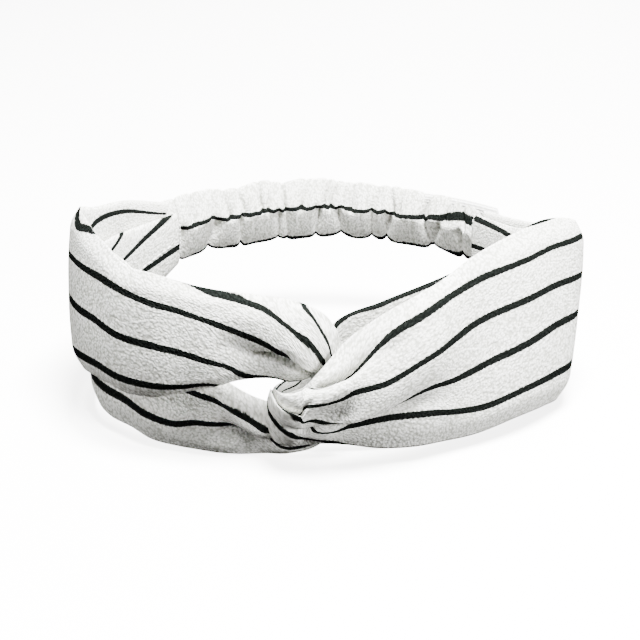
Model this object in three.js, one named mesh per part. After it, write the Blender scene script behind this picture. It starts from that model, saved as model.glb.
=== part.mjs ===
// Twist-knot headband: two cloth loops hooked through each other at the front, and a gathered
// elastic casing at the back. Millimetres, +Z up, the knot faces -Y, the casing is at +Y.
import * as THREE from 'three';

// ---- Ring seen from above ----
const RING_WIDTH = 164;          // across the widest line, on the centreline of the cloth
const FRONT_DEPTH = 47;          // from the widest line forward to the knot
const BACK_DEPTH = 82;           // from the widest line back to the middle of the casing
const RING_SQUARENESS = 2.15;    // exponent of the superellipse; 2 is a plain ellipse
const JOIN_ANGLE = 137;          // where the loops are sewn to the casing, degrees from the front

// ---- Loops ----
const STRAP_HEIGHT = 62;         // a loop's leg laid open at the side of the head
const STRAP_THICKNESS = 4;       // two soft layers of cloth, lightly filled with air
const LEG_GAP = 0.8;             // between a loop's outer and inner leg
const EDGE_RADIUS = 1.1;         // soft folded edge of a strap
const JOIN_HEIGHT = 30;          // both legs pleated together where they enter the seam
const JOIN_CENTRE_Z = 41;
const LOWER_LEG_DROP = 6;        // how far the left loop's inner leg is gathered at its top edge

// ---- Knot ----
const KNOT_X = -4;
const KNOT_CENTRE_Z = 27;
const LEFT_BIGHT_HEIGHT = 15;    // the left loop turns back in an upright plane
const LEFT_BIGHT_THICKNESS = 9;
const RIGHT_BIGHT_HEIGHT = 14;   // the right loop turns back in a level plane
const RIGHT_BIGHT_THICKNESS = 7;
const KNOT_GAP = 1;              // between the two loops where they cross
const KNOT_REACH = 18;           // how far past the knot's middle the bunched cloth runs
const SPREAD_HEIGHT = 22;        // of the left loop just before it is squeezed by the right one
const MIDWAY_HEIGHT = 44;        // of every leg twice that reach from the knot

// ---- Casing and elastic ----
const ELASTIC_HEIGHT = 16;
const ELASTIC_THICKNESS = 1.6;
const ELASTIC_EDGE_ROOM = 0.8;   // above and below the elastic inside the casing
const ELASTIC_FACE_ROOM = 1.5;   // before and behind it, where the tack's thread lies
const CASING_WALL = 2.2;         // gathered cloth, several folds deep
const CASING_MIDDLE_ANGLE = 16;  // half of the part that travels back, degrees from the back
const CASING_CENTRE_Z = 42;
const PIECE_GAP = 0.4;           // between cloth ends that are cut at the same line

// ---- Threads ----
const THREAD_RADIUS = 0.4;
const THREAD_CLEARANCE = 0.3;
const NOTCH_WIDTH = 2 * (THREAD_RADIUS + THREAD_CLEARANCE);
const NOTCH_DEPTH = 2 * THREAD_RADIUS + THREAD_CLEARANCE;
const JOIN_SEAM_GAP = 2 * (THREAD_RADIUS + THREAD_CLEARANCE);
const JOIN_STITCH_TURNS = 8;
const JOIN_STITCH_REACH = 2.2;   // half the width of the zigzag
const TACK_HEIGHT = 12;
const TACK_TURNS = 5;
const TACK_LENGTH = 3;

// ---- Mesh detail ----
const LOOP_STEPS = 72;
const CASING_STEPS = 14;
const STITCH_STEPS = 64;
const CORNER_POINTS = 4;
const THREAD_SIDES = 6;

// ---- Sizes that follow from those above ----
const CHANNEL_HEIGHT = ELASTIC_HEIGHT + 2 * ELASTIC_EDGE_ROOM;
const CHANNEL_THICKNESS = ELASTIC_THICKNESS + 2 * ELASTIC_FACE_ROOM;
const CASING_HEIGHT = CHANNEL_HEIGHT + 2 * CASING_WALL;
const CASING_THICKNESS = CHANNEL_THICKNESS + 2 * CASING_WALL;

const UP = new THREE.Vector3(0, 0, 1);
const FORWARD = new THREE.Vector3(0, -1, 0);
const BACKWARD = new THREE.Vector3(0, 1, 0);

const MATERIALS = {
  cloth: { color: 0xe9e9e4, roughness: 0.92, metalness: 0 },
  thread: { color: 0xdcdcd4, roughness: 0.7, metalness: 0 },
  elastic: { color: 0xf2f1ec, roughness: 0.8, metalness: 0 },
};

// A point on the ring, an angle from the front towards +X, moved outwards by an offset.
function ringPoint(degrees, offset = 0) {
  const angle = THREE.MathUtils.degToRad(degrees);
  const sine = Math.sin(angle);
  const cosine = Math.cos(angle);
  const power = 2 / RING_SQUARENESS;
  const depth = cosine > 0 ? FRONT_DEPTH : BACK_DEPTH;
  const x = (RING_WIDTH / 2) * Math.sign(sine) * Math.abs(sine) ** power;
  const y = -depth * Math.sign(cosine) * Math.abs(cosine) ** power;
  const outward = ringOutward(degrees);
  return new THREE.Vector3(x, y, 0).addScaledVector(outward, offset);
}

// The level direction that points out of the ring at an angle.
function ringOutward(degrees) {
  const angle = THREE.MathUtils.degToRad(degrees);
  const sine = Math.sin(angle);
  const cosine = Math.cos(angle);
  const power = 2 - 2 / RING_SQUARENESS;
  const depth = cosine > 0 ? FRONT_DEPTH : BACK_DEPTH;
  const x = (Math.sign(sine) * Math.abs(sine) ** power) / (RING_WIDTH / 2);
  const y = (-Math.sign(cosine) * Math.abs(cosine) ** power) / depth;
  return new THREE.Vector3(x, y, 0).normalize();
}

// A rounded strap section, out (+) and in (-) first, then height, with a thread notch inside.
function strapSection(height, thickness, notchHeight = 0) {
  const out = thickness / 2;
  const top = height / 2;
  const radius = Math.min(EDGE_RADIUS, out * 0.6);
  const corners = [[out, -top, -90], [out, top, 0], [-out, top, 90], [-out, -top, 180]];
  const points = [];
  corners.forEach(([x, y, start], corner) => {
    for (let step = 0; step < CORNER_POINTS; step += 1) {
      const turn = THREE.MathUtils.degToRad(start + (90 * step) / (CORNER_POINTS - 1));
      const centreX = x - Math.sign(x) * radius;
      const centreY = y - Math.sign(y) * radius;
      points.push([centreX + radius * Math.cos(turn), centreY + radius * Math.sin(turn)]);
    }
    if (corner === 2) {
      points.push([-out, notchHeight + NOTCH_WIDTH / 2]);
      points.push([-out + NOTCH_DEPTH, notchHeight + NOTCH_WIDTH / 2]);
      points.push([-out + NOTCH_DEPTH, notchHeight - NOTCH_WIDTH / 2]);
      points.push([-out, notchHeight - NOTCH_WIDTH / 2]);
    }
  });
  return points;
}

function rectangleSection(height, thickness) {
  const out = thickness / 2;
  const top = height / 2;
  return [[out, -top], [out, top], [-out, top], [-out, -top]];
}

// Places a section's points around a centre, along its outward and height directions.
function placeSection(section, { centre, outward, heightwise }) {
  return section.map(([out, up]) => centre.clone()
    .addScaledVector(outward, out)
    .addScaledVector(heightwise, up));
}

function signedVolume(points, triangles) {
  let volume = 0;
  for (const [a, b, c] of triangles) {
    volume += points[a].dot(points[b].clone().cross(points[c])) / 6;
  }
  return volume;
}

// A closed body from rows of placed points, with an optional channel right through it.
function loft(rows, capOutline, channelRows = [], channelOutline = []) {
  const points = [...rows.flat(), ...channelRows.flat()];
  const triangles = [];
  const wall = (first, count, rowCount, inner) => {
    for (let row = 0; row < rowCount - 1; row += 1) {
      for (let i = 0; i < count; i += 1) {
        const a = first + row * count + i;
        const b = first + row * count + ((i + 1) % count);
        const c = b + count;
        const d = a + count;
        triangles.push(...(inner ? [[a, c, b], [a, d, c]] : [[a, b, c], [a, c, d]]));
      }
    }
  };
  const outerCount = rows[0].length;
  const channelCount = channelRows.length ? channelRows[0].length : 0;
  const channelStart = rows.length * outerCount;
  wall(0, outerCount, rows.length, false);
  if (channelCount) {
    wall(channelStart, channelCount, channelRows.length, true);
  }
  const toShape = (outline) => outline.map(([x, y]) => new THREE.Vector2(x, y));
  const holes = channelCount ? [toShape(channelOutline)] : [];
  const cap = THREE.ShapeUtils.triangulateShape(toShape(capOutline), holes);
  const pick = (index, row) => (index < outerCount
    ? row * outerCount + index
    : channelStart + row * channelCount + (index - outerCount));
  for (const [a, b, c] of cap) {
    triangles.push([pick(c, 0), pick(b, 0), pick(a, 0)]);
    const last = rows.length - 1;
    triangles.push([pick(a, last), pick(b, last), pick(c, last)]);
  }
  const turned = signedVolume(points, triangles) < 0;
  const geometry = new THREE.BufferGeometry().setFromPoints(points);
  geometry.setIndex(triangles.flatMap(([a, b, c]) => (turned ? [a, c, b] : [a, b, c])));
  geometry.computeVertexNormals();
  return geometry;
}

function mesh(name, geometry, material) {
  const result = new THREE.Mesh(geometry, new THREE.MeshStandardMaterial(MATERIALS[material]));
  result.name = name;
  return result;
}

// A round thread along a list of frames, sitting at (out, up) of each frame.
function thread(name, frames, out, up) {
  const circle = Array.from({ length: THREAD_SIDES }, (_, i) => {
    const turn = (2 * Math.PI * i) / THREAD_SIDES;
    return [THREAD_RADIUS * Math.cos(turn), THREAD_RADIUS * Math.sin(turn)];
  });
  const rows = frames.map((frame, i) => {
    const shifted = circle.map(([x, y]) => [x + (out[i] ?? out), y + up]);
    return placeSection(shifted, frame);
  });
  return mesh(name, loft(rows, circle), 'thread');
}

// A zigzag of thread in the plane of a frame, or along it when it has a length.
function zigzag(name, frame, { height, reach, turns, forward, offset = 0 }) {
  const path = [];
  for (let i = 0; i <= STITCH_STEPS; i += 1) {
    const share = i / STITCH_STEPS;
    const swing = Math.sin(share * turns * 2 * Math.PI) * reach;
    path.push(frame.centre.clone()
      .addScaledVector(frame.heightwise, (share - 0.5) * height)
      .addScaledVector(forward ? frame.forward : frame.outward, swing)
      .addScaledVector(forward ? frame.outward : frame.forward, offset));
  }
  const section = new THREE.Shape();
  section.absarc(0, 0, THREAD_RADIUS, 0, 2 * Math.PI);
  const curve = new THREE.CatmullRomCurve3(path);
  const geometry = new THREE.ExtrudeGeometry(section, {
    steps: STITCH_STEPS, curveSegments: THREAD_SIDES / 2, bevelEnabled: false, extrudePath: curve,
  });
  return mesh(name, geometry, 'thread');
}

// ---- Loops: stations give the centre, height and thickness; the rest is interpolated ----

const LEG_OFFSET = (STRAP_THICKNESS + LEG_GAP) / 2;
const KNOT_Y = ringPoint(0).y;
const RIGHT_BIGHT_RADIUS = (LEFT_BIGHT_THICKNESS + RIGHT_BIGHT_THICKNESS) / 2 + KNOT_GAP;
const KNOT_HOLE = RIGHT_BIGHT_HEIGHT / 2 + KNOT_GAP;
const LEFT_BIGHT_RADIUS = KNOT_HOLE + LEFT_BIGHT_HEIGHT / 2;

// A station on the ring. Level legs keep their edges level; facing is -1 on a leg that has turned
// back in a level plane, so that the strap's outer side is the same cloth all along.
function legStation(degrees, offset, centreZ, height, facing) {
  const centre = ringPoint(degrees, offset);
  centre.z = centreZ;
  const outward = ringOutward(degrees).multiplyScalar(facing);
  return { centre, outward, height, thickness: STRAP_THICKNESS, level: 1 };
}

// A leg from its seam to the knot: side is +1 on the right, -1 on the left.
function legStations(side, { offset, drop = 0, facing = 1 }) {
  const half = STRAP_HEIGHT / 2;
  const station = (degrees, centreZ, height) => (
    legStation(side * degrees, offset, centreZ, height, facing));
  return [
    station(JOIN_ANGLE, JOIN_CENTRE_Z, JOIN_HEIGHT),
    station(JOIN_ANGLE - 16, JOIN_CENTRE_Z - 4, JOIN_HEIGHT + 12 - drop),
    station(104, half - drop / 2, STRAP_HEIGHT - drop),
    station(78, half - drop / 2, STRAP_HEIGHT - drop),
    station(52, half - drop / 2, STRAP_HEIGHT - drop),
  ];
}

function knotStation(x, y, z, size, outward = FORWARD, level = 0) {
  const centre = new THREE.Vector3(KNOT_X + x, KNOT_Y + y, z);
  return { centre, outward, ...size, level };
}

function leftLoopStations() {
  const upper = legStations(-1, { offset: LEG_OFFSET });
  const lower = legStations(-1, { offset: -LEG_OFFSET, drop: LOWER_LEG_DROP });
  const size = { height: LEFT_BIGHT_HEIGHT, thickness: LEFT_BIGHT_THICKNESS };
  const bight = [];
  for (let degrees = 90; degrees >= -90; degrees -= 30) {
    const turn = THREE.MathUtils.degToRad(degrees);
    const z = KNOT_CENTRE_Z + LEFT_BIGHT_RADIUS * Math.sin(turn);
    bight.push(knotStation(LEFT_BIGHT_RADIUS * Math.cos(turn), 0, z, size));
  }
  const spread = { height: SPREAD_HEIGHT, thickness: LEFT_BIGHT_THICKNESS - 2 };
  const spreadZ = KNOT_HOLE + SPREAD_HEIGHT / 2;
  const midway = { height: MIDWAY_HEIGHT, thickness: STRAP_THICKNESS + 1 };
  const midwayY = LEG_OFFSET + 2;
  return [
    ...upper,
    knotStation(-2 * KNOT_REACH, -midwayY, KNOT_CENTRE_Z + 4, midway, FORWARD, 1),
    knotStation(-KNOT_REACH, 0, KNOT_CENTRE_Z + spreadZ, spread, FORWARD, 1),
    ...bight,
    knotStation(-KNOT_REACH, 0, KNOT_CENTRE_Z - spreadZ, spread, FORWARD, 1),
    knotStation(-2 * KNOT_REACH, midwayY, KNOT_CENTRE_Z - 4, midway, FORWARD, 1),
    ...lower.reverse(),
  ];
}

function rightLoopStations() {
  const outer = legStations(1, { offset: LEG_OFFSET });
  const inner = legStations(1, { offset: -LEG_OFFSET, facing: -1 });
  const size = { height: RIGHT_BIGHT_HEIGHT, thickness: RIGHT_BIGHT_THICKNESS };
  const bight = [];
  for (let degrees = -90; degrees >= -270; degrees -= 30) {
    const turn = THREE.MathUtils.degToRad(degrees);
    const outward = new THREE.Vector3(Math.cos(turn), Math.sin(turn), 0);
    const [x, y] = [RIGHT_BIGHT_RADIUS * outward.x, RIGHT_BIGHT_RADIUS * outward.y];
    bight.push(knotStation(x, y, KNOT_CENTRE_Z, size, outward));
  }
  const spread = { height: 1.5 * SPREAD_HEIGHT, thickness: RIGHT_BIGHT_THICKNESS - 1 };
  const midway = { height: MIDWAY_HEIGHT + 6, thickness: STRAP_THICKNESS + 1 };
  const midwayY = LEG_OFFSET + 2;
  return [
    ...outer,
    knotStation(2 * KNOT_REACH, -midwayY, KNOT_CENTRE_Z, midway),
    knotStation(KNOT_REACH, -RIGHT_BIGHT_RADIUS, KNOT_CENTRE_Z, spread),
    ...bight,
    knotStation(KNOT_REACH, RIGHT_BIGHT_RADIUS, KNOT_CENTRE_Z, spread, BACKWARD),
    knotStation(2 * KNOT_REACH, midwayY, KNOT_CENTRE_Z, midway, BACKWARD),
    ...inner.reverse(),
  ];
}

// Frames along a loop. Its thickness direction turns with the stations. Its height direction is
// square to that and to the path, so an upright loop turns over at the knot.
function loopFrames(stations, upright) {
  const centres = new THREE.CatmullRomCurve3(stations.map((s) => s.centre), false, 'centripetal');
  const frames = [];
  for (let step = 0; step <= LOOP_STEPS; step += 1) {
    const share = step / LOOP_STEPS;
    const place = share * (stations.length - 1);
    const index = Math.min(Math.floor(place), stations.length - 2);
    const [before, after] = [stations[index], stations[index + 1]];
    const blend = THREE.MathUtils.smoothstep(place - index, 0, 1);
    const mix = (key) => THREE.MathUtils.lerp(before[key], after[key], blend);
    const outward = before.outward.clone().lerp(after.outward, blend).normalize();
    const forward = centres.getTangent(share);
    forward.z *= 1 - mix('level');
    const heightwise = upright ? outward.clone().cross(forward).normalize() : UP.clone();
    const [height, thickness] = [mix('height'), mix('thickness')];
    frames.push({ centre: centres.getPoint(share), outward, heightwise, forward, height, thickness });
  }
  return frames;
}

// The legs stand on the table: no point of a loop is lower than its lowest flat edge.
function keepOnTable(rows) {
  rows.flat().forEach((point) => {
    point.z = Math.max(point.z, 0);
  });
  return rows;
}

function loop(name, frames) {
  const sections = frames.map(({ height, thickness }) => strapSection(height, thickness));
  const rows = keepOnTable(frames.map((frame, i) => placeSection(sections[i], frame)));
  const cloth = mesh(name, loft(rows, sections[0]), 'cloth');
  const inset = frames.map(({ thickness }) => -thickness / 2 + THREAD_RADIUS);
  return [cloth, thread(`${name}_seam_thread`, frames, inset, 0)];
}

// ---- Casing, elastic and their threads ----

function ringFrame(degrees, centreZ) {
  const outward = ringOutward(degrees);
  const centre = ringPoint(degrees);
  centre.z = centreZ;
  return { centre, outward, heightwise: UP.clone(), forward: outward.clone().cross(UP).normalize() };
}

function degreesPerMillimetre(degrees) {
  return 1 / ringPoint(degrees).distanceTo(ringPoint(degrees + 1));
}

function casingPart(name, from, to) {
  const frames = Array.from({ length: CASING_STEPS + 1 }, (_, i) => (
    ringFrame(THREE.MathUtils.lerp(from, to, i / CASING_STEPS), CASING_CENTRE_Z)));
  const seamHeight = -CASING_HEIGHT / 4;
  const outline = strapSection(CASING_HEIGHT, CASING_THICKNESS, seamHeight);
  const channel = rectangleSection(CHANNEL_HEIGHT, CHANNEL_THICKNESS);
  const outerRows = frames.map((frame) => placeSection(outline, frame));
  const channelRows = frames.map((frame) => placeSection(channel, frame));
  const cloth = loft(outerRows, outline, channelRows, channel);
  const band = rectangleSection(ELASTIC_HEIGHT, ELASTIC_THICKNESS);
  const bandRows = frames.map((frame) => placeSection(band, frame));
  const threadInset = -CASING_THICKNESS / 2 + THREAD_RADIUS;
  return [
    mesh(`casing_${name}`, cloth, 'cloth'),
    mesh(`elastic_${name}`, loft(bandRows, band), 'elastic'),
    thread(`casing_seam_thread_${name}`, frames, threadInset, seamHeight),
  ];
}

// The threads at one end of the casing: the seam that joins the loop, and the elastic's tack.
function joinThreads(side) {
  const sideName = side > 0 ? 'right' : 'left';
  const seamStep = (JOIN_SEAM_GAP / 2) * degreesPerMillimetre(JOIN_ANGLE);
  const seamFrame = ringFrame(side * (JOIN_ANGLE + seamStep), JOIN_CENTRE_Z);
  const tackStep = (JOIN_SEAM_GAP + TACK_LENGTH) * degreesPerMillimetre(JOIN_ANGLE);
  const tackFrame = ringFrame(side * (JOIN_ANGLE + tackStep), CASING_CENTRE_Z);
  const tackOffset = -(ELASTIC_THICKNESS / 2 + THREAD_CLEARANCE + THREAD_RADIUS);
  return [
    zigzag(`${sideName}_join_stitches`, seamFrame, {
      height: CASING_HEIGHT, reach: JOIN_STITCH_REACH, turns: JOIN_STITCH_TURNS, forward: false,
    }),
    zigzag(`${sideName}_elastic_tack`, tackFrame, {
      height: TACK_HEIGHT, reach: TACK_LENGTH / 2, turns: TACK_TURNS, forward: true, offset: tackOffset,
    }),
  ];
}

function build() {
  const group = new THREE.Group();
  const seam = JOIN_SEAM_GAP * degreesPerMillimetre(JOIN_ANGLE);
  const split = 180 - CASING_MIDDLE_ANGLE;
  const slit = (PIECE_GAP / 2) * degreesPerMillimetre(split);
  group.add(
    ...loop('left_loop', loopFrames(leftLoopStations(), true)),
    ...loop('right_loop', loopFrames(rightLoopStations(), false)),
    ...casingPart('right', JOIN_ANGLE + seam, split - slit),
    ...casingPart('middle', split + slit, 360 - split - slit),
    ...casingPart('left', 360 - split + slit, 360 - JOIN_ANGLE - seam),
    ...joinThreads(-1),
    ...joinThreads(1),
  );
  const box = new THREE.Box3().setFromObject(group);
  const centre = box.getCenter(new THREE.Vector3());
  group.position.set(-centre.x, -centre.y, -box.min.z);
  return group;
}

export default build();
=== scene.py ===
"""Twist-knot spa headband: striped crepe loops, gathered elastic casing, sewn seams and its stage."""

import math
import random

import bpy
import numpy as np
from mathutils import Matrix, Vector


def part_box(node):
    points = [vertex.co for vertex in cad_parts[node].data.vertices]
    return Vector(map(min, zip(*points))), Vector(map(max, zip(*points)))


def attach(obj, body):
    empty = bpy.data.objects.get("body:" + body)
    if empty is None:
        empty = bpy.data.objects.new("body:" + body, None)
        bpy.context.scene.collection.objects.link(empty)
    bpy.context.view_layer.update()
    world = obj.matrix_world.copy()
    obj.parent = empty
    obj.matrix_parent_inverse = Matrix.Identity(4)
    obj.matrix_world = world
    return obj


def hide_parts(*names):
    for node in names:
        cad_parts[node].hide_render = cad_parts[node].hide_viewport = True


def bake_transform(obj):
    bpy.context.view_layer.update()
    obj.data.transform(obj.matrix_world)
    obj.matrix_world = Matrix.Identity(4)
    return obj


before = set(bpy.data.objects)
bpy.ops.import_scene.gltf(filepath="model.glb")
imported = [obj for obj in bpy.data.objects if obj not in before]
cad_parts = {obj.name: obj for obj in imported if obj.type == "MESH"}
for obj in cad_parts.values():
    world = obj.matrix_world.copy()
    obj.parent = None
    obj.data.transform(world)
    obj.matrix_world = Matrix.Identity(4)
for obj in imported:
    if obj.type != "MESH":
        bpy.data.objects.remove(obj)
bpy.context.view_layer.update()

bl_info = {
    "name": "Twist-knot headband",
    "version": (1, 0, 0),
    "blender": (4, 5, 0),
    "location": "3D View > Sidebar > Headband",
    "description": "Builds a striped crepe headband with a front twist knot around its packed frame",
    "category": "Object",
}

MM = 0.001

# ------------------------------------------------------------
# Sizes, in millimetres. Y is measured from the ring's widest line, Z from the table.
# ------------------------------------------------------------

RING_HALF_WIDTH = 82.0
RING_FRONT_DEPTH = 47.0
RING_BACK_DEPTH = 82.0
RING_SQUARENESS = 2.15
JOIN_ANGLE = 137.0
CASING_THICKNESS = 9.0
CASING_CENTRE_Z = 42.0
CASING_TOP = (52.0, 53.0, 48.5)
CASING_FOOT = (28.0, 31.0, 28.0)

# The ring's widest line stands this far from the frame's origin along Y.
RING_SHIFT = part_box("casing_middle")[1][1] / MM - RING_BACK_DEPTH - CASING_THICKNESS / 2

# CASING_TOP and CASING_FOOT above are its edges' heights at its left end, middle and right end.
CASING_OVERLAP = 2.5
CASING_ROWS = 620
CASING_HALF_AROUND = 36
CASING_SEAM_COLUMN = 18
CASING_SEAM_LIFT = 0.12
CASING_STRIPE_SHIFT = -0.2

# The inner face stands out furthest at its waist, a share of its height up from its low edge.
# The puffs above the waist and those below it are drawn apart.
CASING_WAIST = 0.54
CASING_WAIST_BLUR = 0.025

# How much cloth the inner face takes from its low edge to its high one, to the left of a turn and
# to the right of it. The turn lies between two distances from the casing's right end.
CASING_INNER_CLOTH = (25.0, 18.0)
CASING_CLOTH_TURN = (34.0, 12.0)
WAIST_CLOTH = 0.8
WAIST_CLOTH_BLUR = 0.05

# The pinches between the casing's puffs, drawn at random. Pairs are lowest and highest.
PUFF_WIDTHS = (0.35, 1.65)
PINCH_SLANT = 2.2
PINCH_BOW = 1.2
PINCH_DEPTHS = (0.5, 1.0)
PINCH_SPREADS = (0.45, 1.0)
TOP_PINCH_REACH = 1.5
BOTTOM_PINCH_REACH = 2.0
STRIPE_DRIFTS = (0.1, 1.1)
STRIPE_STEP_LENGTH = 0.7
EDGE_WAVER_LENGTH = 3.5
RIPPLE_COUNT = 5
RIPPLE_HEIGHTS = (0.12, 0.3)
RIPPLE_LENGTHS = (1.6, 3.6)
RIPPLE_SHARE = 0.25

# What is left of the casing's depth in a pinch, and what a full puff adds to it, as shares.
PINCHED_SHARE = 0.1
PUFFED_SHARE = 0.95

# How the casing's edges follow the puffs.
CREST_DIP = 1.0
CREST_SWELL = 1.3
CREST_WAVER = 0.7
FOOT_LIFT = 1.8
FOOT_SWELL = 2.4

ELASTIC_HEIGHT = 16.0
ELASTIC_THICKNESS = 1.6
ELASTIC_TUCK = 3.0  # past the casing at each end
ELASTIC_ROWS = 420
ELASTIC_HALF_AROUND = 10
ELASTIC_WAVE_HEIGHT = 0.12
ELASTIC_WAVE_LENGTH = 2.4
LOOP_SEAM_LIFT = 0.1
JOIN_ROW_INSETS = (2.0, 5.0)
JOIN_ROW_LIFT = 4.3
JOIN_ROW_SPAN = (0.12, 0.88)
JOIN_ROW_POINTS = 12
JOIN_PATH_POINTS = 400

# In metres: spacing and length of the joins' and tacks' stitches, how far a tack's two rows lie
# from its middle, and how far they stop from its ends.
JOIN_STITCH = (0.0016, 0.0014)
TACK_STITCH = (0.0014, 0.0013)
TACK_SPREAD = 0.0008
TACK_MARGIN = 0.001
TACK_POINTS = 9

CAMERA_ELEVATION = 22.0
CAMERA_DISTANCE = 600.0
CAMERA_LENS = 101.25
CAMERA_AIM_X = -2.2
CAMERA_AIM_Z = 30.0
CAMERA_SENSOR = 36.0
CAMERA_CLIP = (0.01, 20.0)

FLOOR_COLOUR = (0.93, 0.925, 0.915)
FLOOR_ROUGHNESS = 0.9
FLOOR_GLOW = 5.0
FLOOR_REACH = 3.0
WORLD_COLOUR = (1.0, 0.995, 0.95)
WORLD_STRENGTH = 0.075

# Each light's name, place and size in metres, and power in watts. All face LIGHT_AIM.
LIGHT_AIM = (0, 0, 0.03)
LIGHTS = (
    ("key", (0.1, -0.2, 0.87), 0.35, 92.0),
    ("fill", (0.85, -0.45, 0.26), 0.3, 24.0),
    ("side", (-0.85, -0.3, 0.4), 0.3, 9.0),
    ("back", (0.15, 0.8, 0.5), 0.4, 13.0),
)

# Each cloth tube's girth holds a whole number of stripes, so the stripes meet at its seam.
STRIPE_SPACING = 14.0
LEFT_GIRTH = 8 * STRIPE_SPACING
RIGHT_GIRTH = 9 * STRIPE_SPACING
TUBE_END_WIDTH = 28.0
TUBE_END_TAPER = 50.0
CONTROLS = 12
FACE_STEPS = 84
BACK_STEPS = 44
LOOP_ROWS = 460
TABLE_GAP = 0.2


def swell(place, power=2.4):
    """How far a soft face stands out across its width: 0 at its edges, 1 in the middle."""
    return (1 - np.abs(2 * np.asarray(place, float) - 1) ** power) ** (1 / power)


def even(puff, *marks):
    """A plain rounded face: its places, lifts and tube coordinates, from (place, coordinate) marks."""
    places = np.linspace(0, 1, CONTROLS)
    lifts = puff * swell(places)
    cloth = np.interp(places, [mark[0] for mark in marks], [mark[1] for mark in marks])
    return places, lifts, cloth


class Station:
    """One cross-section of a flattened tube.

    low and high are its two folded edges. face holds three rows of CONTROLS numbers for the outer
    face from low to high: place between the edges, lift off the line between them, and the
    coordinate round the cloth tube. A place that steps back makes an overhanging fold.
    """

    def __init__(self, low, high, face, back=2.0):
        places, lifts, cloth = face
        self.row = [*low, *high, back, *places, *lifts, *cloth]


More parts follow.
